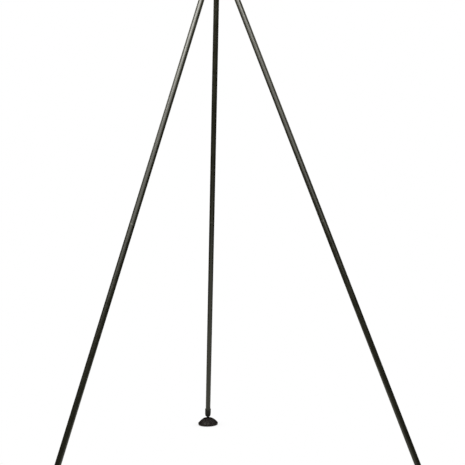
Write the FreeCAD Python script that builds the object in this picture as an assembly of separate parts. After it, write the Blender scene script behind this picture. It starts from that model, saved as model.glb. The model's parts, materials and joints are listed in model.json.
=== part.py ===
import FreeCAD, Part
import math
import os
from FreeCAD import Placement, Rotation, Vector

# A light three-legged shooting rest. Three slender tube legs hang from hinges around a small hub, each leg
# pulls apart at a spigot halfway down, and each foot pad swivels on a ball. A padded fork turns on the hub.
# Millimetres and degrees. +Z is up, the back leg points along +Y, and the origin is on the floor, in the
# middle of the rectangle that the three feet cover.

# Driving dimensions of the legs.
TUBE_RADIUS = 8.0
TUBE_WALL = 1.2
TUBE_LENGTH = 700.0
LEG_LENGTH = 1465.0  # hinge to foot ball
LEG_TILT = 21.0  # from vertical, as it stands
WIDEST_TILT = 30.5  # where the tongue meets the hub's stop
HINGE_RADIUS = 24.0  # from the hub's axis
LEG_AZIMUTHS = {"right": 330.0, "left": 210.0, "back": 90.0}

# Driving dimensions of the foot.
BALL_HEIGHT = 33.5  # above the floor
BALL_RADIUS = 5.0
BEARING_WALL = 1.15
PAD_RADIUS = 34.0
PAD_HEIGHT = 24.0
PAD_RIM_HEIGHT = 7.5
PAD_RIB_COUNT = 8
PAD_RIB_HEIGHT = 1.0

# Fits.
RUNNING = 0.05  # radial clearance wherever one piece turns or slides on another
BORE = TUBE_RADIUS - TUBE_WALL  # radius of everything pressed or bonded into a tube

# Stations down a leg, measured from its hinge.
TUBE_START = 50.0
KNUCKLE_PIN = 64.0
JOINT_RING = 4.0  # thickness of the ring between the two tubes
SPIGOT_GRIP = 60.0  # length of spigot held in each tube
UPPER_END = TUBE_START + TUBE_LENGTH
LOWER_START = UPPER_END + JOINT_RING
LOWER_END = LOWER_START + TUBE_LENGTH
CORD_ANCHOR = LOWER_END - 60.0
CORD_RADIUS = 1.5
PIN_RADIUS = 1.5

# Hinges. The tongue swings between the hub's ears on two flanged bushes and a bolt.
TONGUE_HALF = 4.0
EYE_RADIUS = 8.0
BOLT_RADIUS = 2.5
BUSH_RADIUS = 3.4
BUSH_FLANGE = 0.6
EAR_INNER = TONGUE_HALF + BUSH_FLANGE + 2 * RUNNING
EAR_OUTER = 10.0

# Hub and fork, with heights above the hinges.
CORE_RADIUS = 15.0
CORE_BOTTOM = -12.0
HUB_TOP = 16.0
STOP_BOTTOM = -6.0
SWIVEL_RADIUS = 4.0
THRUST_WASHER = 1.5
FORK_BOTTOM = HUB_TOP + THRUST_WASHER + RUNNING
FORK_SHELF = 30.0
FORK_TOP = 42.0
LOCK_HEIGHT = 24.0
LOCK_RADIUS = 2.5
ARM_RADIUS = 5.0
SLEEVE_RADIUS = 7.5
FORK_BEND = 40.0  # radius of each arm's bend
FORK_DEPTH = 11.0  # half of the fork's size front to back

UP = Vector(0, 0, 1)
ACROSS = Vector(0, 1, 0)
HINGE_HEIGHT = BALL_HEIGHT + LEG_LENGTH * math.cos(math.radians(LEG_TILT))
FOOT_CIRCLE = HINGE_RADIUS + LEG_LENGTH * math.sin(math.radians(LEG_TILT))  # feet from the hub's axis
# The two front feet stand half as far in front of the hub as the back foot stands behind it.
HUB_CENTRE = Vector(0, -FOOT_CIRCLE / 4, HINGE_HEIGHT)


# ---- Shapes ----


def rod(radius, low, high):
    """A round bar on the Z axis."""
    return Part.makeCylinder(radius, high - low, Vector(0, 0, low))


def ring(outer, inner, low, high):
    """A tube on the Z axis."""
    return rod(outer, low, high).cut(rod(inner, low, high))


def cross_rod(radius, low, high, x=0.0, z=0.0):
    """A round bar along Y."""
    return Part.makeCylinder(radius, high - low, Vector(x, low, z), ACROSS)


def block(x_range, y_range, z_range):
    """A box given by its lowest and highest x, y and z."""
    low = Vector(x_range[0], y_range[0], z_range[0])
    high = Vector(x_range[1], y_range[1], z_range[1])
    size = high - low
    return Part.makeBox(size.x, size.y, size.z, low)


def outline(points):
    """A closed edge loop in the XZ plane. A pair of points in place of one is an arc, through one to the
    other."""
    edges = []
    here = Vector(points[0][0], 0, points[0][1])
    first = here
    for point in points[1:] + [points[0]]:
        if isinstance(point[0], tuple):
            (mid_x, mid_z), (end_x, end_z) = point
            there = Vector(end_x, 0, end_z)
            edges.append(Part.Arc(here, Vector(mid_x, 0, mid_z), there).toShape())
        else:
            there = Vector(point[0], 0, point[1])
            edges.append(Part.makeLine(here, there))
        here = there
    assert here.isEqual(first, 1e-9)
    return Part.Wire(edges)


def lathe(points):
    """The solid that an outline of radius and height sweeps around the Z axis."""
    return Part.Face(outline(points)).revolve(Vector(), UP, 360)


def hexagon(across_flats, low, high):
    """A six-sided bar on the Z axis."""
    reach = across_flats / math.sqrt(3)
    corners = [
        Vector(reach * math.cos(i * math.pi / 3), reach * math.sin(i * math.pi / 3), low)
        for i in range(7)
    ]
    return Part.Face(Part.makePolygon(corners)).extrude(Vector(0, 0, high - low))


def along_y(shape):
    """Lays a shape that stands on the Z axis down along Y, its top towards -Y."""
    return shape.transformed(Placement(Vector(), Rotation(Vector(1, 0, 0), 90)).toMatrix())


def moved(shape, placement):
    return shape.transformed(placement.toMatrix())


# ---- Places ----


def leg_place(azimuth):
    """Carries a leg drawn hanging down from the origin, hinge along Y, to its hinge and its tilt."""
    direction = Rotation(UP, azimuth)
    hinge = direction.multVec(Vector(HINGE_RADIUS, 0, 0)) + HUB_CENTRE
    return Placement(hinge, direction.multiply(Rotation(ACROSS, -LEG_TILT)))


def foot_place(azimuth):
    """Carries a foot drawn upright around its ball to the end of its leg."""
    ball = leg_place(azimuth).multVec(Vector(0, 0, -LEG_LENGTH))
    return Placement(ball, Rotation(UP, azimuth))


def hub_place(azimuth=0.0):
    """Carries a piece drawn around the hub's centre to the hub, turned about its axis."""
    return Placement(HUB_CENTRE, Rotation(UP, azimuth))


# ---- Upper leg ----


def knuckle():
    """Top fitting: a flat tongue with the hinge eye, a round shoulder and a plug in the tube."""
    shoulder_radius = TUBE_RADIUS + 0.6
    shoulder_top = 27.0
    plug_end = TUBE_START + 32.0
    turned = lathe([
        (0, -18),
        (TONGUE_HALF, -18),
        (shoulder_radius, -shoulder_top),
        (shoulder_radius, -36),
        (shoulder_radius - 0.7, -37),
        (shoulder_radius - 0.7, -39),
        (shoulder_radius, -40),
        (shoulder_radius, -TUBE_START + 1),
        (TUBE_RADIUS, -TUBE_START),
        (BORE, -TUBE_START),
        (BORE, -plug_end + 1),
        (BORE - 1, -plug_end),
        (0, -plug_end),
    ])
    tongue = block((-EYE_RADIUS, EYE_RADIUS), (-TONGUE_HALF, TONGUE_HALF), (-shoulder_top, 0))
    eye = cross_rod(EYE_RADIUS, -TONGUE_HALF, TONGUE_HALF)
    body = turned.fuse([tongue, eye]).removeSplitter()
    hinge_bore = cross_rod(BUSH_RADIUS, -TONGUE_HALF, TONGUE_HALF)
    cord_well = rod(4.5, -plug_end, -KNUCKLE_PIN + 6)
    pin_bore = cross_rod(PIN_RADIUS, -BORE, BORE, z=-KNUCKLE_PIN)
    return body.cut(hinge_bore).cut(cord_well).cut(pin_bore)


def hinge_bushes():
    """Two flanged nylon bushes, pushed into the tongue's eye from either side."""
    barrel = ring(BUSH_RADIUS, BOLT_RADIUS + RUNNING, RUNNING, TONGUE_HALF)
    flange = ring(EYE_RADIUS - 1.5, BOLT_RADIUS + RUNNING, TONGUE_HALF, TONGUE_HALF + BUSH_FLANGE)
    bush = along_y(barrel.fuse(flange).removeSplitter())
    return Part.makeCompound([bush, bush.mirror(Vector(), ACROSS)])


def knuckle_pin():
    """Cross pin through the tube and the plug, flush with the tube. It also holds the cord's loop."""
    pin = cross_rod(PIN_RADIUS, -TUBE_RADIUS, TUBE_RADIUS, z=-KNUCKLE_PIN)
    return pin.common(rod(TUBE_RADIUS, -KNUCKLE_PIN - 5, -KNUCKLE_PIN + 5))


def upper_tube():
    tube = ring(TUBE_RADIUS, BORE, -UPPER_END, -TUBE_START)
    return tube.cut(cross_rod(PIN_RADIUS, -TUBE_RADIUS, TUBE_RADIUS, z=-KNUCKLE_PIN))


def spigot():
    """Joining sleeve, bonded in the upper tube. Its lower half is a running fit in the lower tube."""
    tip = LOWER_START + SPIGOT_GRIP
    loose = BORE - RUNNING
    hollow = BORE - 2.2
    return lathe([
        (hollow, -UPPER_END + SPIGOT_GRIP),
        (BORE, -UPPER_END + SPIGOT_GRIP),
        (BORE, -LOWER_START),
        (loose, -LOWER_START),
        (loose, -tip + 2),
        (loose - 1, -tip),
        (hollow, -tip),
    ])


def joint_ring():
    """Bare metal ring on the spigot, between the two tubes' ends."""
    return ring(TUBE_RADIUS + 0.2, BORE, -LOWER_START, -UPPER_END)


def shock_cord():
    """Elastic cord that pulls the leg together: a loop on the knuckle's pin, and a knot below the anchor."""
    loop_radius = 2.9
    loop_wire = 1.3
    knot_radius = 3.2
    anchor_bottom = CORD_ANCHOR + 12.0
    loop = Part.makeTorus(loop_radius, loop_wire, Vector(0, 0, -KNUCKLE_PIN), ACROSS)
    line = rod(CORD_RADIUS, -anchor_bottom - knot_radius, -KNUCKLE_PIN - loop_radius)
    knot = Part.makeSphere(knot_radius, Vector(0, 0, -anchor_bottom - knot_radius))
    return loop.fuse([line, knot.cut(rod(knot_radius, -anchor_bottom, 0))]).removeSplitter()


# ---- Lower leg ----


def lower_tube():
    return ring(TUBE_RADIUS, BORE, -LOWER_END, -LOWER_START)


def cord_anchor():
    """Short plug bonded in the lower tube, which the cord passes through."""
    return ring(BORE, CORD_RADIUS + RUNNING, -CORD_ANCHOR - 12.0, -CORD_ANCHOR)


def foot_ferrule():
    """Moulded boot on the leg's end: a plug in the tube, a sleeve around it and the foot's ball socket."""
    outer = TUBE_RADIUS + 1.8
    sleeve_top = LOWER_END - 12.5
    shoulder = LEG_LENGTH - 8.0
    end = LEG_LENGTH + 2.5
    end_radius = outer - 1.3
    body = lathe([
        (0, -LOWER_END + 24),
        (BORE - 0.8, -LOWER_END + 24),
        (BORE, -LOWER_END + 22),
        (BORE, -LOWER_END),
        (TUBE_RADIUS, -LOWER_END),
        (TUBE_RADIUS, -sleeve_top),
        (outer - 0.8, -sleeve_top),
        (outer, -sleeve_top - 0.8),
        (outer, -shoulder),
        ((outer - 0.3, -LEG_LENGTH + 2.5), (end_radius, -end)),
        (0, -end),
    ])
    mouth_angle = math.radians(69)
    mouth_depth = 4.0
    socket = Part.makeSphere(BALL_RADIUS + BEARING_WALL + 2 * RUNNING, Vector(0, 0, -LEG_LENGTH))
    mouth = Part.makeCone(0, mouth_depth * math.tan(mouth_angle), mouth_depth, Vector(0, 0, -LEG_LENGTH), -UP)
    return body.cut(socket.fuse(mouth))


# ---- Foot, drawn around its ball ----


def ball_shell(radius, opening, back):
    """A ball cut open to a cone of the given half-angle below, and to another above."""
    reach = 2 * radius
    below = Part.makeCone(0, reach * math.tan(math.radians(opening)), reach, Vector(), -UP)
    above = Part.makeCone(0, reach * math.tan(math.radians(back)), reach, Vector(), UP)
    return Part.makeSphere(radius).cut(below).cut(above)


def foot_bearing():
    """Split nylon cup between the ball and the ferrule."""
    cup = ball_shell(BALL_RADIUS + RUNNING + BEARING_WALL, 54.0, 50.0)
    return cup.cut(Part.makeSphere(BALL_RADIUS + RUNNING))


def foot_stud():
    """Steel ball on a flared neck, with a collar on the pad and a flange moulded into it."""
    neck_radius = 2.6
    neck_bottom = -4.6
    collar_radius = 4.7
    flange_radius = 14.0
    pad_top = PAD_HEIGHT - BALL_HEIGHT
    flange_low = 8.0 - BALL_HEIGHT
    stem = lathe([
        (0, flange_low),
        (flange_radius, flange_low),
        (flange_radius, flange_low + 2),
        (collar_radius - 0.5, flange_low + 2),
        (collar_radius - 0.5, pad_top),
        (collar_radius, pad_top),
        (collar_radius, pad_top + 1.5),
        (neck_radius, neck_bottom),
        (neck_radius, 0),
        (0, 0),
    ])
    return stem.fuse(Part.makeSphere(BALL_RADIUS)).removeSplitter()


def pad_dome(lift):
    """The pad's turned shape, with its dome raised by a little for the ribs."""
    sole = -BALL_HEIGHT
    top = sole + PAD_HEIGHT + lift
    rim = sole + PAD_RIM_HEIGHT + lift
    edge = 1.5
    boss_radius = 10.0
    shoulder = (0.7 * PAD_RADIUS, sole + 0.7 * PAD_HEIGHT + lift)
    return lathe([
        (0, sole),
        (PAD_RADIUS - edge, sole),
        (PAD_RADIUS, sole + edge),
        (PAD_RADIUS, rim - 1),
        (shoulder, (boss_radius + 1, top - 0.6)),
        (boss_radius, top),
        (0, top),
    ])


def pad_ribs():
    """Broad radial ribs that run from the pad's boss over its dome to its rim."""
    width = 9.0
    start = 13.0
    raised = pad_dome(PAD_RIB_HEIGHT)
    low = 3 - BALL_HEIGHT
    high = PAD_HEIGHT + 2 - BALL_HEIGHT
    bar = block((start, PAD_RADIUS + 1), (-width / 2, width / 2), (low, high))
    turns = [Placement(Vector(), Rotation(UP, i * 360 / PAD_RIB_COUNT)) for i in range(PAD_RIB_COUNT)]
    return [raised.common(moved(bar, turn)) for turn in turns]


def foot_pad(stud):
    """Domed rubber pad with ribs above and two ring grooves in its sole, moulded around the stud."""
    body = pad_dome(0).fuse(pad_ribs()).removeSplitter()
    sole = -BALL_HEIGHT
    groove_half = 1.0
    groove_depth = 1.5
    for radius in (15.0, 24.0):
        body = body.cut(ring(radius + groove_half, radius - groove_half, sole, sole + groove_depth))
    return body.cut(stud)


# ---- Hub ----


def hub_body():
    """Cast hub: a core, and three clevises whose outer webs stop the legs."""
    tilt = math.radians(WIDEST_TILT)
    stop = HINGE_RADIUS + (EYE_RADIUS - STOP_BOTTOM * math.sin(tilt)) / math.cos(tilt)
    outer = stop + 4.5
    clevis = block((0, outer), (-EAR_OUTER, EAR_OUTER), (STOP_BOTTOM, HUB_TOP - 4))
    upright = [e for e in clevis.Edges if abs(e.CenterOfMass.x - outer) < 0.1 and e.BoundBox.ZLength > 1]
    clevis = clevis.makeFillet(5.0, upright)
    level = [e for e in clevis.Edges if e.BoundBox.ZLength < 1 and e.BoundBox.XMax > 1]
    clevis = clevis.makeFillet(1.5, level)
    skirt = block((CORE_RADIUS - 4, HINGE_RADIUS + 7), (-EAR_OUTER, EAR_OUTER), (STOP_BOTTOM - 4, 0))
    roof = EYE_RADIUS + 0.8
    slot = block((CORE_RADIUS + 0.2, stop), (-EAR_INNER, EAR_INNER), (STOP_BOTTOM - 5, roof))
    bolt_hole = cross_rod(BOLT_RADIUS, -EAR_OUTER, EAR_OUTER, x=HINGE_RADIUS)
    turns = [Placement(Vector(), Rotation(UP, azimuth)) for azimuth in LEG_AZIMUTHS.values()]
    arms = [moved(piece, turn) for turn in turns for piece in (clevis, skirt)]
    holes = [moved(piece, turn) for turn in turns for piece in (slot, bolt_hole)]
    core = rod(CORE_RADIUS, CORE_BOTTOM, HUB_TOP)
    head_recess = rod(8.2, CORE_BOTTOM, CORE_BOTTOM + 7)
    body = core.fuse(arms).removeSplitter()
    return body.cut(holes).cut(head_recess).cut(rod(SWIVEL_RADIUS, CORE_BOTTOM, HUB_TOP))


def hinge_bolt():
    """Button-head bolt along the hinge, its head towards -Y."""
    head = rod(4.6, EAR_OUTER + 1, EAR_OUTER + 3.8)
    socket = hexagon(3.0, EAR_OUTER + 2, EAR_OUTER + 3.8)
    rounded = head.makeFillet(1.6, [head.Edges[0]]).cut(socket)
    shank = rod(BOLT_RADIUS, -EAR_OUTER - 7, EAR_OUTER + 1)
    return along_y(shank.fuse(rounded).removeSplitter())


def hinge_nut():
    nut = hexagon(8.0, -EAR_OUTER - 6, -EAR_OUTER - 1)
    return along_y(nut.cut(rod(BOLT_RADIUS, -EAR_OUTER - 6, -EAR_OUTER - 1)))


def hinge_washer():
    return along_y(ring(5.0, BOLT_RADIUS, EAR_OUTER, EAR_OUTER + 1))


def around_hub(piece):
    """Copies of a hinge fastener, drawn along Y, at all three hinges."""
    turns = [hub_place(azimuth) for azimuth in LEG_AZIMUTHS.values()]
    return [moved(piece, turn.multiply(Placement(Vector(HINGE_RADIUS, 0, 0), Rotation()))) for turn in turns]


def swivel_bolt():
    """Bolt up through the hub, which the fork turns on."""
    head_top = CORE_BOTTOM + 7
    head = hexagon(13.0, head_top - 5.5, head_top)
    shank = rod(SWIVEL_RADIUS, head_top, FORK_TOP - 1)
    return head.fuse(shank).removeSplitter()


def swivel_washer():
    return ring(7.6, SWIVEL_RADIUS, FORK_SHELF + RUNNING, FORK_SHELF + RUNNING + 1.2)


def swivel_nut():
    low = FORK_SHELF + RUNNING + 1.2
    nut = hexagon(13.0, low, low + 6.5)
    return nut.cut(rod(SWIVEL_RADIUS, low, low + 6.5))


def thrust_washer():
    return ring(CORE_RADIUS - 1, SWIVEL_RADIUS + RUNNING, HUB_TOP, HUB_TOP + THRUST_WASHER)


# ---- Fork ----


def arm_path(start_angle=None):
    """Centre line of the right-hand arm: out of the fork's base, round a bend and up to the tip."""
    low, high = 35.0, 78.0
    root = Vector(11, 0, 29)
    root_length = 14.0
    tip_length = 62.0

    def heading(angle):
        return Vector(math.cos(math.radians(angle)), 0, math.sin(math.radians(angle)))

    bend_start = root + heading(low) * root_length
    centre = bend_start + heading(low + 90) * FORK_BEND

    def on_bend(angle):
        return centre + heading(angle - 90) * FORK_BEND

    first = low if start_angle is None else start_angle
    middle = (first + high) / 2
    edges = [
        Part.Arc(on_bend(first), on_bend(middle), on_bend(high)).toShape(),
        Part.makeLine(on_bend(high), on_bend(high) + heading(high) * tip_length),
    ]
    if start_angle is None:
        edges.insert(0, Part.makeLine(root, bend_start))
    return Part.Wire(edges), edges[-1]


def swept(path, radius):
    """A round bar along a path."""
    first = path.Edges[0]
    start = first.valueAt(first.FirstParameter)
    direction = first.tangentAt(first.FirstParameter)
    profile = Part.Wire([Part.makeCircle(radius, start, direction)])
    return path.makePipeShell([profile], True, False)


def fork_arm():
    path, _ = arm_path()
    return swept(path, ARM_RADIUS)


def arm_sleeve(arm):
    """Rubber sleeve over the arm's bend and upper part."""
    path, _ = arm_path(start_angle=50.0)
    return swept(path, SLEEVE_RADIUS).cut(arm)


def arm_tip(arm, sleeve):
    """Rounded rubber cap over the arm's end."""
    _, last = arm_path()
    end = last.valueAt(last.LastParameter)
    direction = last.tangentAt(last.LastParameter)
    cap_radius = SLEEVE_RADIUS + 1
    cap = Part.makeCylinder(cap_radius, 16, end - direction * 12, direction)
    cap = cap.makeFillet(3.5, [e for e in cap.Edges if e.CenterOfMass.isEqual(end + direction * 4, 0.1)])
    return cap.cut(arm).cut(sleeve)


def arm_pin():
    """Cross pin that holds an arm in the fork's base."""
    return cross_rod(PIN_RADIUS, -FORK_DEPTH, FORK_DEPTH, x=17.0, z=33.2)


def both_sides(piece):
    """A right-hand piece and its mirror image."""
    return [piece, piece.mirror(Vector(), Vector(1, 0, 0))]


def fork_base(arms, pins):
    """Swivelling base with a well for the nut, sockets for the arms and a side hole for the lock screw."""
    half_width = 22.0
    boss = rod(CORE_RADIUS, FORK_BOTTOM, FORK_TOP)
    boss = boss.makeChamfer(1.0, [e for e in boss.Edges if e.BoundBox.ZMax < FORK_BOTTOM + 0.1])
    crosshead = block((-half_width, half_width), (-FORK_DEPTH, FORK_DEPTH), (FORK_SHELF - 5, FORK_TOP))
    corners = [e for e in crosshead.Edges if e.BoundBox.ZLength > 1]
    crosshead = crosshead.makeFillet(6.0, corners)
    crosshead = crosshead.makeFillet(1.5, [e for e in crosshead.Edges if e.BoundBox.ZMax < FORK_SHELF])
    body = boss.fuse(crosshead).removeSplitter()
    nut_well = rod(8.6, FORK_SHELF, FORK_TOP)
    bore = rod(SWIVEL_RADIUS + RUNNING, FORK_BOTTOM, FORK_TOP)
    lock_hole = cross_rod(LOCK_RADIUS + RUNNING, -CORE_RADIUS - 1, 0, z=LOCK_HEIGHT)
    return body.cut([nut_well, bore, lock_hole] + arms + pins)


def saddle_pad(arms):
    """Rubber block at the bottom of the fork, hollowed to cradle its load and cut clear of the arms."""
    half_width = 17.0
    thickness = 6.0
    cradle = 27.0
    rim_rise = cradle - math.sqrt(cradle**2 - (half_width - 2) ** 2)
    top = FORK_TOP + thickness
    profile = outline([
        (-half_width, FORK_TOP),
        (half_width, FORK_TOP),
        (half_width, top + rim_rise - 1),
        (half_width - 2, top + rim_rise),
        ((0, top), (-half_width + 2, top + rim_rise)),
        (-half_width, top + rim_rise - 1),
    ])
    pad = Part.Face(profile).extrude(Vector(0, 2 * FORK_DEPTH, 0)).translated(Vector(0, -FORK_DEPTH, 0))
    return pad.cut(arms)


def on_lock_axis(shape):
    """Carries a piece that stands on the Z axis to the lock screw's axis, its top towards -Y."""
    return moved(along_y(shape), Placement(Vector(0, 0, LOCK_HEIGHT), Rotation()))


def lock_screw():
    return on_lock_axis(rod(LOCK_RADIUS, SWIVEL_RADIUS + RUNNING + 3, CORE_RADIUS + 10))


def brake_shoe():
    """Nylon slug that the screw presses on the swivel bolt."""
    slug = rod(LOCK_RADIUS, 0, SWIVEL_RADIUS + RUNNING + 3)
    shaft = cross_rod(SWIVEL_RADIUS + RUNNING, -LOCK_RADIUS - 1, LOCK_RADIUS + 1)
    return on_lock_axis(slug.cut(shaft))


def lock_knob():
    """Lobed grip, moulded on the screw's end."""
    low = CORE_RADIUS + 1.5
    high = low + 13
    lobes = 5
    hub = lathe([
        (0, low),
        (5.5, low),
        (8.5, low + 3),
        (8.5, high - 1.5),
        ((8.1, high - 0.4), (7.0, high)),
        (0, high),
    ])
    grips = []
    for i in range(lobes):
        angle = 2 * math.pi * i / lobes
        grip = rod(3.4, low + 3, high - 1)
        grips.append(grip.translated(Vector(7.6 * math.cos(angle), 7.6 * math.sin(angle), 0)))
    return on_lock_axis(hub.fuse(grips).removeSplitter()).cut(lock_screw())


# ---- The whole rest ----


def leg_nodes(side, azimuth):
    leg = leg_place(azimuth)
    foot = foot_place(azimuth)
    stud = foot_stud()
    in_leg = {
        "knuckle": knuckle(),
        "hinge_bushes": hinge_bushes(),
        "knuckle_pin": knuckle_pin(),
        "upper_tube": upper_tube(),
        "spigot": spigot(),
        "joint_ring": joint_ring(),
        "shock_cord": shock_cord(),
        "lower_tube": lower_tube(),
        "cord_anchor": cord_anchor(),
        "foot_ferrule": foot_ferrule(),
    }
    in_foot = {
        "foot_bearing": foot_bearing(),
        "foot_stud": stud,
        "foot_pad": foot_pad(stud),
    }
    placed = {f"{side}_{name}": moved(shape, leg) for name, shape in in_leg.items()}
    placed.update({f"{side}_{name}": moved(shape, foot) for name, shape in in_foot.items()})
    return placed


def hub_nodes():
    washers = [hinge_washer(), hinge_washer().mirror(Vector(), ACROSS)]
    fixed = {
        "hub_body": hub_body(),
        "swivel_bolt": swivel_bolt(),
        "swivel_washer": swivel_washer(),
        "swivel_nut": swivel_nut(),
        "thrust_washer": thrust_washer(),
    }
    nodes = {name: moved(shape, hub_place()) for name, shape in fixed.items()}
    nodes["hinge_bolts"] = Part.makeCompound(around_hub(hinge_bolt()))
    nodes["hinge_nuts"] = Part.makeCompound(around_hub(hinge_nut()))
    nodes["hinge_washers"] = Part.makeCompound([w for washer in washers for w in around_hub(washer)])
    return nodes


def fork_nodes():
    arm = fork_arm()
    arms = both_sides(arm)
    pins = both_sides(arm_pin())
    sleeve = arm_sleeve(arm)
    sleeves = both_sides(sleeve)
    pieces = {
        "fork_base": fork_base(arms, pins),
        "right_fork_arm": arms[0].cut(pins[0]),
        "left_fork_arm": arms[1].cut(pins[1]),
        "right_arm_sleeve": sleeves[0],
        "left_arm_sleeve": sleeves[1],
        "arm_tips": Part.makeCompound(both_sides(arm_tip(arm, sleeve))),
        "arm_pins": Part.makeCompound(pins),
        "saddle_pad": saddle_pad(arms),
        "lock_screw": lock_screw(),
        "brake_shoe": brake_shoe(),
        "lock_knob": lock_knob(),
    }
    return {name: moved(shape, hub_place()) for name, shape in pieces.items()}


def main():
    nodes = {}
    for side, azimuth in LEG_AZIMUTHS.items():
        nodes.update(leg_nodes(side, azimuth))
    nodes.update(hub_nodes())
    nodes.update(fork_nodes())
    os.makedirs("parts", exist_ok=True)
    for name, shape in nodes.items():
        shape.exportStep(f"parts/{name}.step")


main()
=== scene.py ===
import json
import math

import bmesh
import bpy
from mathutils import Matrix, Vector


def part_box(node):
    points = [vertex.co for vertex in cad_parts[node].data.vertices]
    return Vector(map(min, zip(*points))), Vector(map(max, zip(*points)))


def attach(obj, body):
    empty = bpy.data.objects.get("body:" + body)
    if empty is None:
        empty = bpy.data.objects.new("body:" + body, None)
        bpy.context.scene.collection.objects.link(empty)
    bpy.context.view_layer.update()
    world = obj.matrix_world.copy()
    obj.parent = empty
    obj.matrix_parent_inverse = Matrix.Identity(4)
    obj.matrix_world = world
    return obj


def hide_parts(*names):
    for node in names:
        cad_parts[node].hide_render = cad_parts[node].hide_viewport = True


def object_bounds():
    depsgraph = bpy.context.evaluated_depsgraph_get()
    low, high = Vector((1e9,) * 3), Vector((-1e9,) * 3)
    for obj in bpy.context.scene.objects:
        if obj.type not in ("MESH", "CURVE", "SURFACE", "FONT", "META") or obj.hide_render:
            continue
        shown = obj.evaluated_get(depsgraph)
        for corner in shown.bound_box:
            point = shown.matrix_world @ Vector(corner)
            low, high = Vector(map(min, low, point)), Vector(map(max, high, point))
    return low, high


# Looks of a light three-legged shooting rest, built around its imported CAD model. Metres and radians, +Z up.
# The tubes, fittings and fasteners are the CAD's own meshes with procedural materials. The rubber pieces
# (foot pads, arm sleeves, arm tips and saddle pad) are modelled here and stand for the CAD's plain ones.

MM = 0.001
SIDES = ("right", "left", "back")

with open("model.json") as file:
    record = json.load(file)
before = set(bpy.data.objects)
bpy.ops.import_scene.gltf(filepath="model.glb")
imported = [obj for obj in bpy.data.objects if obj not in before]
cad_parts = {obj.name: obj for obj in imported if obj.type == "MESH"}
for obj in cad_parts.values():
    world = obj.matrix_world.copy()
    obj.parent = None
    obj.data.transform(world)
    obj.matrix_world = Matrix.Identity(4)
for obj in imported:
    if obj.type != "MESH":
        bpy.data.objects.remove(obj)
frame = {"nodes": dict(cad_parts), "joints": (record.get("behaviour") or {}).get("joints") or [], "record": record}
cad_low, cad_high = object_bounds()
JOINTS = {joint["name"]: joint for joint in frame["joints"]}


def joint_place(name):
    return Vector(JOINTS[name]["pos_m"])


def joint_axis(name):
    return Vector(JOINTS[name]["axis"]).normalized()


HUB = sum((joint_place(f"{side}_leg_spread") for side in SIDES), Vector()) / len(SIDES)


# ---- Material building blocks ----


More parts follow.
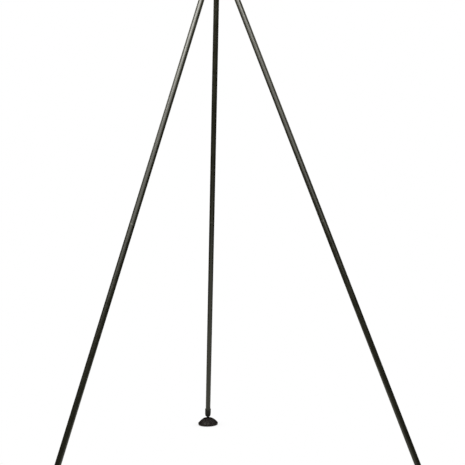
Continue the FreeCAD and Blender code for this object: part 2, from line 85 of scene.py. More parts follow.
class Surface:
    """A material under construction: a Principled shader and short ways to feed it."""

    def __init__(self, name, local=None):
        """local carries the texture's own axes to the object's, so that grain can follow a tube."""
        self.material = bpy.data.materials.new(name)
        self.material.use_nodes = True
        self.nodes = self.material.node_tree.nodes
        self.links = self.material.node_tree.links
        self.shader = self.nodes["Principled BSDF"]
        self.place = self.add("ShaderNodeTexCoord").outputs["Object"]
        if local is not None:
            back = local.inverted()
            mapping = self.add("ShaderNodeMapping")
            mapping.inputs["Rotation"].default_value = back.to_euler("XYZ")
            mapping.inputs["Location"].default_value = back.to_translation()
            self.link(self.place, mapping.inputs["Vector"])
            self.place = mapping.outputs["Vector"]

    def add(self, kind, **settings):
        node = self.nodes.new(kind)
        for key, value in settings.items():
            setattr(node, key, value)
        return node

    def link(self, source, target):
        """Feeds a socket from another socket, or sets it to a plain value."""
        if isinstance(source, bpy.types.NodeSocket):
            self.links.new(source, target)
        else:
            target.default_value = source

    def math(self, operation, first, second=0.0):
        node = self.add("ShaderNodeMath", operation=operation)
        self.link(first, node.inputs[0])
        self.link(second, node.inputs[1])
        return node.outputs[0]

    def stretched(self, across, along):
        """The texture's place, scaled differently across the local Z axis and along it."""
        node = self.add("ShaderNodeVectorMath", operation="MULTIPLY")
        self.link(self.place, node.inputs[0])
        node.inputs[1].default_value = (across, across, along)
        return node.outputs[0]

    def noise(self, size, detail=3.0, place=None):
        """Noise whose features are about size metres across."""
        node = self.add("ShaderNodeTexNoise")
        self.link(self.place if place is None else place, node.inputs["Vector"])
        node.inputs["Scale"].default_value = 1.0 / size
        node.inputs["Detail"].default_value = detail
        return node.outputs["Fac"]

    def cells(self, size):
        """Rounded pebbles about size metres across."""
        node = self.add("ShaderNodeTexVoronoi", feature="SMOOTH_F1")
        self.link(self.place, node.inputs["Vector"])
        node.inputs["Scale"].default_value = 1.0 / size
        return node.outputs["Distance"]

    def span(self, value, low, high, to_low=0.0, to_high=1.0):
        """Maps low..high smoothly to to_low..to_high, and holds the ends."""
        node = self.add("ShaderNodeMapRange", interpolation_type="SMOOTHSTEP")
        self.link(value, node.inputs["Value"])
        node.inputs["From Min"].default_value = low
        node.inputs["From Max"].default_value = high
        node.inputs["To Min"].default_value = to_low
        node.inputs["To Max"].default_value = to_high
        return node.outputs["Result"]

    def blend(self, share, first, second):
        """A colour between two colours."""
        node = self.add("ShaderNodeMix", data_type="RGBA")
        self.link(share, node.inputs["Factor"])
        for colour, socket in ((first, node.inputs["A"]), (second, node.inputs["B"])):
            self.link(colour if isinstance(colour, bpy.types.NodeSocket) else (*colour, 1.0), socket)
        return node.outputs["Result"]

    def edges(self, radius, sharpness=12.0):
        """1 on sharp outer edges and corners, 0 on plain faces."""
        bevel = self.add("ShaderNodeBevel", samples=4)
        bevel.inputs["Radius"].default_value = radius
        geometry = self.add("ShaderNodeNewGeometry")
        dot = self.add("ShaderNodeVectorMath", operation="DOT_PRODUCT")
        self.link(bevel.outputs["Normal"], dot.inputs[0])
        self.link(geometry.outputs["Normal"], dot.inputs[1])
        bent = self.math("SUBTRACT", 1.0, dot.outputs["Value"])
        return self.math("MINIMUM", self.math("MULTIPLY", bent, sharpness), 1.0)

    def bump(self, *layers):
        """Relief made of (height between 0 and 1, depth in metres) layers, one over another."""
        normal = None
        for height, depth in layers:
            node = self.add("ShaderNodeBump")
            node.inputs["Strength"].default_value = 1.0
            node.inputs["Distance"].default_value = depth
            self.link(height, node.inputs["Height"])
            if normal is not None:
                self.link(normal, node.inputs["Normal"])
            normal = node.outputs["Normal"]
        self.link(normal, self.shader.inputs["Normal"])

    def finish(self, colour, roughness, metallic=0.0, specular=0.5):
        self.link(colour, self.shader.inputs["Base Color"])
        self.link(roughness, self.shader.inputs["Roughness"])
        self.link(metallic, self.shader.inputs["Metallic"])
        self.shader.inputs["Specular IOR Level"].default_value = specular
        return self.material


# ---- Materials ----


def leg_axes(side):
    """A matrix whose local Z runs up a leg and local X points outwards, with its origin at the hinge."""
    up = -joint_axis(f"{side}_leg_section_pull")
    across = joint_axis(f"{side}_foot_pitch")
    outward = across.cross(up)
    axes = Matrix((outward, across, up)).transposed().to_4x4()
    return Matrix.Translation(joint_place(f"{side}_leg_spread")) @ axes


def leg_coating(side):
    """Satin olive-black baked coating: faint orange peel, lengthwise scuffs and metal at worn edges."""
    olive, light_olive = (0.0150, 0.0150, 0.0090), (0.0230, 0.0228, 0.0145)
    speck, scuff, bare_metal = (0.050, 0.049, 0.035), (0.060, 0.058, 0.048), (0.42, 0.41, 0.38)
    s = Surface(f"leg_coating_{side}", leg_axes(side))
    patches = s.noise(60 * MM)
    fleck = s.noise(0.5 * MM, 1.0)
    tone = s.blend(s.span(patches, 0.35, 0.65), olive, light_olive)
    tone = s.blend(s.span(fleck, 0.62, 0.80, 0.0, 0.30), tone, speck)
    scuffs = s.noise(1.0, 4.0, s.stretched(900.0, 9.0))
    scuffed = s.span(scuffs, 0.63, 0.74, 0.0, 0.30)
    tone = s.blend(scuffed, tone, scuff)
    worn = s.math("MULTIPLY", s.edges(0.5 * MM), s.span(s.noise(3 * MM), 0.35, 0.6))
    tone = s.blend(worn, tone, bare_metal)
    gloss = s.span(s.noise(12 * MM), 0.3, 0.7, 0.26, 0.34)
    roughness = s.math("ADD", gloss, s.math("MULTIPLY", scuffed, 0.4))
    s.bump((s.noise(1.4 * MM, 1.0), 0.005 * MM), (scuffs, 0.003 * MM))
    return s.finish(tone, roughness, s.math("MULTIPLY", worn, 0.8), 0.7)


def hub_coating():
    """Fine-textured black powder coat on castings, rubbed bright on a few corners."""
    black, light_black, bare_metal = (0.014, 0.014, 0.0135), (0.024, 0.024, 0.023), (0.30, 0.30, 0.29)
    s = Surface("hub_coating")
    grain = s.cells(0.55 * MM)
    tone = s.blend(s.span(s.noise(8 * MM), 0.35, 0.65), black, light_black)
    worn = s.math("MULTIPLY", s.edges(0.6 * MM, 6.0), s.span(s.noise(2 * MM), 0.52, 0.66))
    tone = s.blend(worn, tone, bare_metal)
    roughness = s.span(s.noise(2.5 * MM), 0.3, 0.7, 0.46, 0.60)
    s.bump((grain, 0.05 * MM), (s.noise(4 * MM), 0.06 * MM))
    return s.finish(tone, roughness, s.math("MULTIPLY", worn, 0.7))


def arm_coating():
    """Satin black paint on steel rod."""
    black, light_black, bare_metal = (0.012, 0.012, 0.012), (0.020, 0.020, 0.019), (0.25, 0.25, 0.25)
    s = Surface("arm_coating")
    tone = s.blend(s.span(s.noise(10 * MM), 0.35, 0.65), black, light_black)
    worn = s.math("MULTIPLY", s.edges(0.5 * MM), s.span(s.noise(1.5 * MM), 0.45, 0.6))
    tone = s.blend(worn, tone, bare_metal)
    roughness = s.span(s.noise(5 * MM), 0.3, 0.7, 0.30, 0.42)
    s.bump((s.noise(1.2 * MM, 1.0), 0.015 * MM))
    return s.finish(tone, roughness, worn)


def black_nylon():
    """Moulded black nylon: spark-eroded grain, slightly greyed on its edges."""
    black, light_black, greyed = (0.0060, 0.0058, 0.0044), (0.0110, 0.0106, 0.0082), (0.060, 0.058, 0.052)
    s = Surface("black_nylon")
    tone = s.blend(s.span(s.noise(6 * MM), 0.35, 0.65), black, light_black)
    rubbed = s.math("MULTIPLY", s.edges(0.7 * MM, 5.0), s.span(s.noise(1.5 * MM), 0.4, 0.7, 0.1, 0.7))
    tone = s.blend(rubbed, tone, greyed)
    roughness = s.span(s.noise(3 * MM), 0.3, 0.7, 0.42, 0.56)
    s.bump((s.noise(0.35 * MM, 2.0), 0.03 * MM), (s.noise(5 * MM), 0.05 * MM))
    return s.finish(tone, roughness, specular=0.32)


def natural_nylon():
    """Smooth, slightly waxy off-white nylon."""
    ivory, light_ivory = (0.62, 0.59, 0.50), (0.74, 0.72, 0.65)
    red_glow = (1.0, 0.9, 0.7)
    s = Surface("natural_nylon")
    tone = s.blend(s.span(s.noise(3 * MM), 0.3, 0.7), ivory, light_ivory)
    s.shader.inputs["Subsurface Weight"].default_value = 0.3
    s.shader.inputs["Subsurface Radius"].default_value = red_glow
    s.shader.inputs["Subsurface Scale"].default_value = 0.5 * MM
    s.bump((s.noise(0.8 * MM), 0.01 * MM))
    return s.finish(tone, s.span(s.noise(1.5 * MM), 0.3, 0.7, 0.30, 0.42))


def bare_aluminium(side):
    """Turned aluminium: fine tool marks around the leg's axis, and a thin dull oxide."""
    grey, light_grey, oxide = (0.36, 0.36, 0.345), (0.56, 0.56, 0.54), (0.26, 0.26, 0.25)
    s = Surface(f"bare_aluminium_{side}", leg_axes(side))
    marks = s.noise(1.0, 2.0, s.stretched(20.0, 5000.0))
    tone = s.blend(s.span(marks, 0.3, 0.7), grey, light_grey)
    tone = s.blend(s.span(s.noise(4 * MM), 0.5, 0.75, 0.0, 0.5), tone, oxide)
    s.bump((marks, 0.02 * MM))
    return s.finish(tone, s.span(s.noise(2 * MM), 0.3, 0.7, 0.28, 0.42), 1.0)


def grey_aluminium(side):
    """The same turned aluminium, hard-anodised dark grey."""
    grey, light_grey, bare_metal = (0.075, 0.075, 0.066), (0.125, 0.125, 0.112), (0.40, 0.40, 0.38)
    s = Surface(f"grey_aluminium_{side}", leg_axes(side))
    marks = s.noise(1.0, 2.0, s.stretched(20.0, 5000.0))
    tone = s.blend(s.span(marks, 0.3, 0.7), grey, light_grey)
    worn = s.math("MULTIPLY", s.edges(0.4 * MM), s.span(s.noise(2 * MM), 0.4, 0.6))
    tone = s.blend(worn, tone, bare_metal)
    s.bump((marks, 0.015 * MM))
    return s.finish(tone, s.span(s.noise(2 * MM), 0.3, 0.7, 0.36, 0.48), 0.8)


def zinc_steel():
    """Zinc-plated steel: cool grey with a faint cloudy bloom and bright rubbed edges."""
    zinc, clouded, rubbed = (0.50, 0.51, 0.53), (0.34, 0.35, 0.36), (0.72, 0.72, 0.72)
    s = Surface("zinc_steel")
    bloom = s.span(s.noise(1.8 * MM), 0.35, 0.7)
    tone = s.blend(bloom, zinc, clouded)
    tone = s.blend(s.edges(0.3 * MM, 5.0), tone, rubbed)
    s.bump((s.noise(0.4 * MM), 0.01 * MM))
    return s.finish(tone, s.math("ADD", 0.24, s.math("MULTIPLY", bloom, 0.16)), 1.0)


def black_steel():
    """Black-oxide steel: an oiled satin black, rubbed to grey on its edges."""
    black, light_black, bare_metal = (0.016, 0.015, 0.014), (0.030, 0.029, 0.027), (0.20, 0.20, 0.20)
    s = Surface("black_steel")
    tone = s.blend(s.span(s.noise(2 * MM), 0.35, 0.65), black, light_black)
    rubbed = s.math("MULTIPLY", s.edges(0.3 * MM, 5.0), s.span(s.noise(1 * MM), 0.45, 0.65))
    tone = s.blend(rubbed, tone, bare_metal)
    s.bump((s.noise(0.4 * MM), 0.01 * MM))
    return s.finish(tone, s.span(s.noise(1.5 * MM), 0.3, 0.7, 0.32, 0.46), 0.6)


def dusty(s, tone, height, amount):
    """Adds pale dust on faces that look up, which thins out from the floor to height."""
    dust = (0.16, 0.145, 0.125)
    geometry = s.add("ShaderNodeNewGeometry")
    facing = s.add("ShaderNodeSeparateXYZ")
    s.link(geometry.outputs["Normal"], facing.inputs[0])
    place = s.add("ShaderNodeSeparateXYZ")
    s.link(s.place, place.inputs[0])
    low = s.span(place.outputs["Z"], 0.0, height, 1.0, 0.0)
    upward = s.span(facing.outputs["Z"], 0.1, 0.9)
    patchy = s.span(s.noise(2.2 * MM, 5.0), 0.48, 0.72)
    share = s.math("MULTIPLY", s.math("MULTIPLY", upward, low), s.math("MULTIPLY", patchy, amount))
    return s.blend(share, tone, dust)


def pad_rubber():
    """Moulded satin rubber, slightly brown black, with a trace of dust and a fine mould grain."""
    brown_black, light_brown_black = (0.0062, 0.0036, 0.0034), (0.0105, 0.0062, 0.0058)
    s = Surface("pad_rubber")
    tone = s.blend(s.span(s.noise(9 * MM), 0.35, 0.65), brown_black, light_brown_black)
    tone = dusty(s, tone, 40 * MM, 0.12)
    roughness = s.span(s.noise(3 * MM), 0.3, 0.7, 0.40, 0.54)
    s.bump((s.noise(0.5 * MM, 2.0), 0.03 * MM), (s.noise(7 * MM), 0.12 * MM))
    return s.finish(tone, roughness, specular=0.26)


def grip_rubber():
    """Matt black rubber with a soft pebble grain, and painted shade in the sunken gaps between the pebbles."""
    black, light_black, pebble_gap_shade = (0.0125, 0.0125, 0.0120), (0.0210, 0.0210, 0.0200), (0.006, 0.006, 0.006)
    s = Surface("grip_rubber")
    tone = s.blend(s.span(s.noise(7 * MM), 0.35, 0.65), black, light_black)
    pebbles = s.cells(0.9 * MM)
    # Painted shade: the sunken gaps between the pebbles are coloured darker.
    tone = s.blend(s.span(pebbles, 0.25, 0.6, 0.0, 0.4), tone, pebble_gap_shade)
    s.bump((pebbles, -0.06 * MM), (s.noise(0.3 * MM), 0.01 * MM))
    return s.finish(tone, s.span(s.noise(2 * MM), 0.3, 0.7, 0.62, 0.78), specular=0.4)


def elastic_cord(side):
    """Black braided sheath with a pale tracer."""
    black, light_black, tracer = (0.012, 0.012, 0.012), (0.045, 0.045, 0.042), (0.35, 0.34, 0.30)
    strand = 0.8 * MM
    s = Surface(f"elastic_cord_{side}", leg_axes(side))
    braid = s.add("ShaderNodeTexChecker")
    s.link(s.stretched(1.0, 0.5), braid.inputs["Vector"])
    braid.inputs["Scale"].default_value = 1.0 / strand
    tone = s.blend(braid.outputs["Fac"], black, light_black)
    tone = s.blend(s.span(s.noise(1.2 * MM), 0.66, 0.72), tone, tracer)
    s.bump((braid.outputs["Fac"], 0.12 * MM))
    return s.finish(tone, 0.75)


# Slots whose grain follows a leg get a material for each leg, and the others share one.
LEG_MATERIALS = {
    build.__name__: build
    for build in (
        leg_coating,
        bare_aluminium,
        grey_aluminium,
        elastic_cord,
    )
}
SHARED_MATERIALS = {
    build.__name__: build
    for build in (
        hub_coating,
        arm_coating,
        black_nylon,
        natural_nylon,
        zinc_steel,
        black_steel,
        pad_rubber,
        grip_rubber,
    )
}


def make_materials():
    made = {slot: build() for slot, build in SHARED_MATERIALS.items()}
    for slot, build in LEG_MATERIALS.items():
        for side in SIDES:
            made[f"{slot}_{side}"] = build(side)
    return made


def dress_cad_nodes(materials):
    """Gives every CAD node the material of its slot in the record."""
    for part in frame["record"]["subparts"]:
        name, slot = part["node"], part["material_slot"]
        key = f"{slot}_{name.split('_')[0]}" if slot in LEG_MATERIALS else slot
        mesh = frame["nodes"][name].data
        mesh.materials.clear()
        mesh.materials.append(materials[key])


# ---- Mesh building blocks ----


def arc(centre, radius, start, end, steps=5):
    """Points on a circle, from one angle to another in degrees."""
    angles = [math.radians(start + (end - start) * i / steps) for i in range(steps + 1)]
    return [(centre[0] + radius * math.cos(a), centre[1] + radius * math.sin(a)) for a in angles]


def add_rings(mesh, rings):
    """Skins a row of rings of points, each with the same number of points, and closes both ends."""
    made = [[mesh.verts.new(point) for point in ring] for ring in rings]
    for first, second in zip(made, made[1:]):
        for i in range(len(first)):
            j = (i + 1) % len(first)
            mesh.faces.new((first[i], first[j], second[j], second[i]))
    for ring in (made[0][::-1], made[-1]):
        mesh.faces.new(ring)


def add_turned(mesh, profile, place, segments, sink=None):
    """Turns a profile of (radius, height) pairs around the local Z axis and closes both its ends.
    sink(radius, height, angle) says how far each point moves inwards and down."""
    rings = []
    for radius, height in profile:
        ring = []
        for i in range(segments):
            angle = 2 * math.pi * i / segments
            inwards, down = sink(radius, height, angle) if sink else (0.0, 0.0)
            reach = radius - inwards
            local = Vector((reach * math.cos(angle), reach * math.sin(angle), height - down))
            ring.append(place @ local)
        rings.append(ring)
    add_rings(mesh, rings)


def finish_piece(name, mesh, body, slot, material, *nodes):
    """Turns a bmesh into a named piece that rides on a body and stands for CAD nodes."""
    bmesh.ops.recalc_face_normals(mesh, faces=mesh.faces)
    data = bpy.data.meshes.new(name)
    mesh.to_mesh(data)
    mesh.free()
    data.shade_smooth()
    data.set_sharp_from_angle(angle=math.radians(40))
    data.materials.append(material)
    piece = bpy.data.objects.new(name, data)
    bpy.context.scene.collection.objects.link(piece)
    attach(piece, body)
    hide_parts(*nodes)
    return piece


def smooth(value, low, high):
    """0 below low, 1 above high, and a smooth step between."""
    t = min(max((value - low) / (high - low), 0.0), 1.0)
    return t * t * (3 - 2 * t)


# ---- Foot pads ----

PAD_LOBES = 8
PAD_RIM = 7.5 * MM
PAD_BOSS = 10 * MM
DOME_START = PAD_BOSS + 1 * MM
STEM_RADIUS = 4 * MM
SOLE_GROOVES = (24 * MM, 15 * MM)


def pad_profile(radius, height):
    """Half section of a foot pad, from the stem's socket over the dome and under the sole."""
    socket_depth = 13 * MM
    section = [(STEM_RADIUS, height - socket_depth), (STEM_RADIUS, height)]
    section += pad_dome(radius, height)
    section += pad_rim(radius)
    for groove in SOLE_GROOVES:
        section += sole_groove(groove)
    sole_middle = 1 * MM
    section.append((sole_middle, 0.0))
    return section


def pad_dome(radius, height):
    """The rounded boss around the stem, then the dome down to the rim."""
    boss_round = 0.8 * MM
    end = radius - 0.9 * MM
    top = height - 0.7 * MM
    fullness = 1.65  # 1 makes a cone, and more makes a rounder dome
    steps = 26
    section = arc((PAD_BOSS - boss_round, height - boss_round), boss_round, 90, 10)
    for i in range(steps + 1):
        share = i / steps
        drop = share ** fullness * (top - PAD_RIM)
        section.append((DOME_START + share * (end - DOME_START), top - drop))
    return section


def pad_rim(radius):
    """The rim's rounded lip, its side leaning in towards the floor, and the rounded edge of the sole."""
    lip = 1.2 * MM
    side = ((0.3 * MM, 0.6), (0.7 * MM, 0.3))  # how far in, at which share of the rim's height
    foot_inset = 0.9 * MM
    foot_round = 1.6 * MM
    section = arc((radius - lip, PAD_RIM - lip), lip, 50, 0)
    section += [(radius - inset, share * PAD_RIM) for inset, share in side]
    section += arc((radius - foot_inset - foot_round, foot_round), foot_round, 0, -90)
    return section


def sole_groove(radius):
    """A ring groove in the sole with eased edges, met on the way inwards."""
    half, depth, ease = 1.0 * MM, 1.5 * MM, 0.3 * MM
    return [
        (radius + half + ease, 0.0),
        (radius + half, ease),
        (radius + half - ease, depth),
        (radius - half + ease, depth),
        (radius - half, ease),
        (radius - half - ease, 0.0),
    ]


def lobe_valley(angle):
    """0 on the crest of a lobe, rising to about 0.8 in the valley between two lobes."""
    softness = 0.015
    narrowness = 1.4
    ripple = math.sqrt(math.cos(PAD_LOBES * angle / 2) ** 2 + softness)
    return max(0.0, 1 - ripple) ** narrowness


def sole_sipe(angle):
    """1 in the middle of each short cut around the sole's edge, and 0 between the cuts."""
    cuts = 3 * PAD_LOBES
    edge = 0.8
    return max(0.0, math.cos(cuts * angle) - edge) / (1 - edge)


def pad_sink(radius):
    """How far each point of a pad lies inside and below the plain turned shape."""
    lobe_depth = 2.8 * MM
    rim_depth = 1.0 * MM
    sipe_depth = 0.9 * MM
    sipe_start = 26 * MM

    def sink(reach, level, angle):
        on_dome = level > 0.98 * PAD_RIM and reach > PAD_BOSS
        on_rim = level > 0.05 * PAD_RIM and reach > 0.9 * radius
        on_sole_edge = level == 0.0 and reach > sipe_start
        valley = lobe_valley(angle)
        if on_dome:
            inwards = rim_depth * valley * smooth(reach, 0.8 * radius, radius)
            return inwards, lobe_depth * valley * smooth(reach, DOME_START, 0.62 * radius)
        if on_rim:
            inwards = rim_depth * valley * smooth(level, 0.1 * PAD_RIM, PAD_RIM)
            return inwards, lobe_depth * valley * smooth(level, 0.5 * PAD_RIM, PAD_RIM)
        if on_sole_edge:
            return 0.0, -sipe_depth * sole_sipe(angle)
        return 0.0, 0.0

    return sink


def foot_pad(side, material):
    """Ribbed rubber foot pad: a dome of broad lobes around the stem, a steep rim and a grooved sole."""
    node = f"{side}_foot_pad"
    low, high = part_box(node)
    height = high.z - low.z
    back_low, back_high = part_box("back_foot_pad")
    radius = (back_high.x - back_low.x) / 2
    outward = joint_axis(f"{side}_foot_roll")
    place = Matrix.Translation(((low.x + high.x) / 2, (low.y + high.y) / 2, low.z))
    place = place @ Matrix.Rotation(math.atan2(outward.y, outward.x), 4, "Z")
    segments = 24 * PAD_LOBES
    mesh = bmesh.new()
    add_turned(mesh, pad_profile(radius, height), place, segments, pad_sink(radius))
    return finish_piece(f"{side}_ribbed_pad", mesh, f"{side}_foot", "pad_rubber", material, node)


# ---- Fork ----

ARM_LEAN = math.radians(78)  # of each arm's straight part, from level
SLEEVE_START = math.radians(50)  # of the arm, where its sleeve begins
ARM_BEND = 40 * MM


def heading(angle):
    """Direction in the fork's plane, seen from the front."""
    return Vector((math.cos(angle), 0.0, math.sin(angle)))


def bar_end(node):
    """Middle of the flat upper end of a round bar that leans like the right arm."""
    low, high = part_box(node)
    radius = (high.y - low.y) / 2
    middle = (high.y + low.y) / 2
    return Vector((high.x - radius * math.sin(ARM_LEAN), middle, high.z - radius * math.cos(ARM_LEAN)))


def sleeve_line():
    """Centre line of the right sleeve: up the rest of the bend, then straight to the tip."""
    low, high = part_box("right_arm_sleeve")
    radius = (high.y - low.y) / 2
    middle = (high.y + low.y) / 2
    start = Vector((low.x + radius * math.sin(SLEEVE_START), middle, low.z + radius * math.cos(SLEEVE_START)))
    end = bar_end("right_arm_sleeve")
    centre = start + ARM_BEND * heading(SLEEVE_START + math.pi / 2)
    stations = []
    bend_steps = 24
    for i in range(bend_steps):
        angle = SLEEVE_START + (ARM_LEAN - SLEEVE_START) * i / bend_steps
        stations.append((centre - ARM_BEND * heading(angle + math.pi / 2), angle))
    bend_end = centre - ARM_BEND * heading(ARM_LEAN + math.pi / 2)
    straight_steps = 96
    for i in range(straight_steps + 1):
        stations.append((bend_end.lerp(end, i / straight_steps), ARM_LEAN))
    return stations, radius


def sleeve_radius(outer, along, length):
    """Outer radius of a sleeve: rounded ends and shallow finger rings between two plain cuffs."""
    end_round = 2 * MM
    cuff = 7 * MM
    pitch = 4 * MM  # from ring to ring
    depth = 0.45 * MM
    edge = min(along, length - along)
    radius = outer
    if edge < end_round:
        radius -= end_round - math.sqrt(max(end_round ** 2 - (end_round - edge) ** 2, 0.0))
    ringed = smooth(edge, cuff, cuff + 1 * MM)
    return radius - depth * ringed * (0.5 - 0.5 * math.cos(2 * math.pi * along / pitch)) ** 3


def arm_sleeve(side, material):
    """Rubber sleeve swept along a fork arm."""
    stations, outer = sleeve_line()
    mirror = 1 if side == "right" else -1
    lengths = [0.0]
    for (first, _), (second, _) in zip(stations, stations[1:]):
        lengths.append(lengths[-1] + (second - first).length)
    segments = 48
    rings = []
    for (point, angle), along in zip(stations, lengths):
        radius = sleeve_radius(outer, along, lengths[-1])
        inward = heading(angle + math.pi / 2)
        ring = []
        for i in range(segments):
            turn = 2 * math.pi * i / segments
            spot = point + radius * (math.cos(turn) * inward + math.sin(turn) * Vector((0, 1, 0)))
            ring.append(Vector((mirror * spot.x, spot.y, spot.z)))
        rings.append(ring)
    mesh = bmesh.new()
    add_rings(mesh, rings)
    return finish_piece(f"{side}_ringed_sleeve", mesh, "fork", "grip_rubber", material, f"{side}_arm_sleeve")


def arm_tip_caps(material):
    """Domed rubber caps with a bead at the mouth, on both arms' ends."""
    low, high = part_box("arm_tips")
    radius = (high.y - low.y) / 2
    overlap = 12 * MM
    length = overlap + 4 * MM
    bead = 1.2 * MM
    crown = 4 * MM
    wall = radius - 0.5 * MM
    mouth_edge = radius - 2.5 * MM
    dimple_edge, dimple_floor, dimple_middle = 1.6 * MM, 1.2 * MM, 0.4 * MM
    dimple_level = length - 0.5 * MM
    segments = 48
    section = [(mouth_edge, 0.0)]
    section += arc((radius - bead, bead), bead, -90, 60)
    section += [(wall, 2.8 * bead), (wall, length - crown)]
    section += arc((wall - crown, length - crown), crown, 0, 90, 8)
    section += [(dimple_edge, length), (dimple_floor, dimple_level), (dimple_middle, dimple_level)]
    mouth = bar_end("right_fork_arm") - overlap * heading(ARM_LEAN)
    mesh = bmesh.new()
    for mirror in (1, -1):
        place = Matrix.Translation((mirror * mouth.x, mouth.y, mouth.z))
        place = place @ Matrix.Rotation(mirror * (math.pi / 2 - ARM_LEAN), 4, "Y")
        add_turned(mesh, section, place, segments)
    return finish_piece("arm_tip_caps", mesh, "fork", "grip_rubber", material, "arm_tips")


def saddle_height(x, y, half_width, half_depth, thickest):
    """Height of the saddle pad's upper face: a trough from front to back, ribbed across, with eased edges."""
    thinnest = 6 * MM
    cradle_radius = 27 * MM
    ease = 1.6 * MM
    plain_edge, ribs_start = 1.5 * MM, 2.5 * MM
    rib_pitch = 2.75 * MM
    rib_depth = 0.7 * MM
    height = min(thinnest + cradle_radius - math.sqrt(cradle_radius ** 2 - x ** 2), thickest)
    inside = min(half_width - abs(x), half_depth - abs(y))
    ribbed = smooth(inside, plain_edge, ribs_start)
    height -= rib_depth * ribbed * (0.5 - 0.5 * math.cos(2 * math.pi * y / rib_pitch)) ** 2
    if inside < ease:
        height -= ease - math.sqrt(max(ease ** 2 - (ease - inside) ** 2, 0.0))
    return height


def saddle_pad(material):
    """Cradle pad with a ribbed upper face and a flat base."""
    low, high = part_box("saddle_pad")
    middle = (low + high) / 2
    half_width = (high.x - low.x) / 2
    half_depth = (high.y - low.y) / 2
    across, along = 56, 96
    rings = []
    for j in range(along + 1):
        y = half_depth * math.sin(math.pi * (j / along - 0.5))
        ring = []
        for i in range(across + 1):
            x = half_width * math.sin(math.pi * (i / across - 0.5))
            height = saddle_height(x, y, half_width, half_depth, high.z - low.z)
            ring.append(Vector((middle.x + x, middle.y + y, low.z + height)))
        ring.append(Vector((middle.x + half_width, middle.y + y, low.z)))
        ring.append(Vector((middle.x - half_width, middle.y + y, low.z)))
        rings.append(ring)
    mesh = bmesh.new()
    add_rings(mesh, rings)
    return finish_piece("ribbed_saddle_pad", mesh, "fork", "grip_rubber", material, "saddle_pad")


# ---- Studio ----

ROOM_GLOW = 0.03
LAMP_TINT = (1.0, 0.99, 0.93)
# Colour of the painted glow that the floor gives off under the stand.
FLOOR_GLOW_TINT = (1.0, 1.0, 0.86)


def white_to_camera(nodes, links, seen, unseen):
    """A shader that is one thing to the camera and another to the light that falls on the stand."""
    choose = nodes.new("ShaderNodeMixShader")
    links.new(nodes.new("ShaderNodeLightPath").outputs["Is Camera Ray"], choose.inputs["Fac"])
    links.new(unseen.outputs[0], choose.inputs[1])
    links.new(seen.outputs[0], choose.inputs[2])
    return choose.outputs[0]


def studio_room():
    """White all round to the camera, and a dim room to the stand, so that its dark coats keep their shape."""
    world = bpy.data.worlds.new("studio")
    bpy.context.scene.world = world
    world.use_nodes = True
    nodes, links = world.node_tree.nodes, world.node_tree.links
    nodes.clear()
    room = nodes.new("ShaderNodeBackground")
    room.inputs["Strength"].default_value = ROOM_GLOW
    white = nodes.new("ShaderNodeBackground")
    white.inputs["Color"].default_value = (1.0, 1.0, 1.0, 1.0)
    shader = white_to_camera(nodes, links, white, room)
    links.new(shader, nodes.new("ShaderNodeOutputWorld").inputs["Surface"])


def softbox(name, turn, rise, away, size, brightness):
    """A rectangular light that faces the middle of the stand. turn and rise are in degrees, and turn runs
    from the stand's front towards its left."""
    turn, rise = math.radians(turn), math.radians(rise)
    width, height = size
    middle = Vector((0.0, -0.2, 0.9))
    towards = Vector((-math.sin(turn) * math.cos(rise), -math.cos(turn) * math.cos(rise), math.sin(rise)))
    data = bpy.data.lights.new(name, "AREA")
    data.shape = "RECTANGLE"
    data.size = width
    data.size_y = height
    data.energy = brightness * math.pi * width * height
    data.color = LAMP_TINT
    light = bpy.data.objects.new(name, data)
    light.location = middle + away * towards
    light.rotation_euler = towards.to_track_quat("Z", "Y").to_euler()
    light.visible_camera = False
    bpy.context.scene.collection.objects.link(light)


def studio_lights():
    """Two lamps at the upper left in front of the stand, and two weaker ones behind it."""
    softbox("front_light", 19, 37, 1.0, (2.1, 1.2), 1.9)
    softbox("upper_light", 27, 56, 1.5, (1.3, 0.8), 8.0)
    softbox("rear_left_light", 135, 30, 2.0, (1.4, 1.0), 1.6)
    softbox("rear_right_light", 228, 30, 2.0, (1.4, 1.0), 1.6)


def contact_shadow(nodes, links):
    """White, a little darker within a few centimetres of the feet."""
    shadow_reach = 40 * MM
    darkest = 0.72
    open_sky = nodes.new("ShaderNodeAmbientOcclusion")
    open_sky.samples = 16
    open_sky.inputs["Distance"].default_value = shadow_reach
    shade = nodes.new("ShaderNodeMapRange")
    shade.inputs["To Min"].default_value = darkest
    links.new(open_sky.outputs["AO"], shade.inputs["Value"])
    white = nodes.new("ShaderNodeEmission")
    links.new(shade.outputs["Result"], white.inputs["Strength"])
    return white


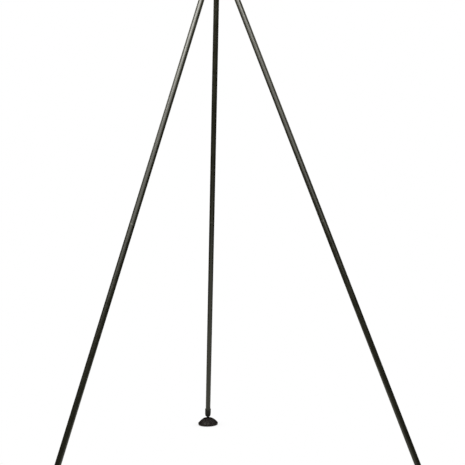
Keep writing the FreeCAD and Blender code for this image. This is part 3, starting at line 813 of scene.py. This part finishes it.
def lit_patch(nodes, links):
    """Painted light: a glow given off by the floor itself under the stand, which fades away around it."""
    bright_within, dark_beyond = 0.3, 1.3
    glow = 0.65
    place = nodes.new("ShaderNodeNewGeometry")
    distance = nodes.new("ShaderNodeVectorMath")
    distance.operation = "LENGTH"
    links.new(place.outputs["Position"], distance.inputs[0])
    patch = nodes.new("ShaderNodeMapRange")
    patch.interpolation_type = "SMOOTHSTEP"
    patch.inputs["From Min"].default_value = bright_within
    patch.inputs["From Max"].default_value = dark_beyond
    patch.inputs["To Min"].default_value = glow
    patch.inputs["To Max"].default_value = 0.0
    links.new(distance.outputs["Value"], patch.inputs["Value"])
    light = nodes.new("ShaderNodeEmission")
    light.inputs["Color"].default_value = (*FLOOR_GLOW_TINT, 1.0)
    links.new(patch.outputs["Result"], light.inputs["Strength"])
    return light


def studio_floor():
    """A pale floor at the soles' level: white with a contact shadow to the camera, and a glowing patch of painted
    light under the stand to everything else."""
    reach = 30.0
    level = cad_low.z - 0.2 * MM
    corners = [(-reach, -reach, level), (reach, -reach, level), (reach, reach, level), (-reach, reach, level)]
    data = bpy.data.meshes.new("floor")
    data.from_pydata(corners, [], [(0, 1, 2, 3)])
    floor = bpy.data.objects.new("floor", data)
    bpy.context.scene.collection.objects.link(floor)
    material = bpy.data.materials.new("floor")
    material.use_nodes = True
    nodes, links = material.node_tree.nodes, material.node_tree.links
    nodes.clear()
    shader = white_to_camera(nodes, links, contact_shadow(nodes, links), lit_patch(nodes, links))
    links.new(shader, nodes.new("ShaderNodeOutputMaterial").inputs["Surface"])
    data.materials.append(material)


def studio_camera():
    """A short telephoto, a little left of the stand's front and near the height of its leg joints. The head
    and the front feet stay out of its frame."""
    away = 2.461
    sideways = math.radians(6.57)
    height = 0.7198
    turn = math.radians(-7.208)
    down = math.radians(1.152)
    roll = math.radians(-1.06)
    data = bpy.data.cameras.new("camera")
    data.sensor_width = 36.0
    data.lens = 67.9
    camera = bpy.data.objects.new("camera", data)
    bpy.context.scene.collection.objects.link(camera)
    ground = Vector((HUB.x, HUB.y, height))
    camera.location = ground + away * Vector((-math.sin(sideways), -math.cos(sideways), 0.0))
    aim = Matrix.Rotation(turn, 3, "Z") @ Matrix.Rotation(math.pi / 2 - down, 3, "X")
    camera.rotation_euler = (aim @ Matrix.Rotation(roll, 3, "Z")).to_euler()
    bpy.context.scene.camera = camera
    bpy.context.scene.view_settings.view_transform = "Standard"


# ---- The whole scene ----

materials = make_materials()
dress_cad_nodes(materials)
for side in SIDES:
    foot_pad(side, materials["pad_rubber"])
for side in ("right", "left"):
    arm_sleeve(side, materials["grip_rubber"])
arm_tip_caps(materials["grip_rubber"])
saddle_pad(materials["grip_rubber"])
studio_room()
studio_lights()
studio_floor()
studio_camera()
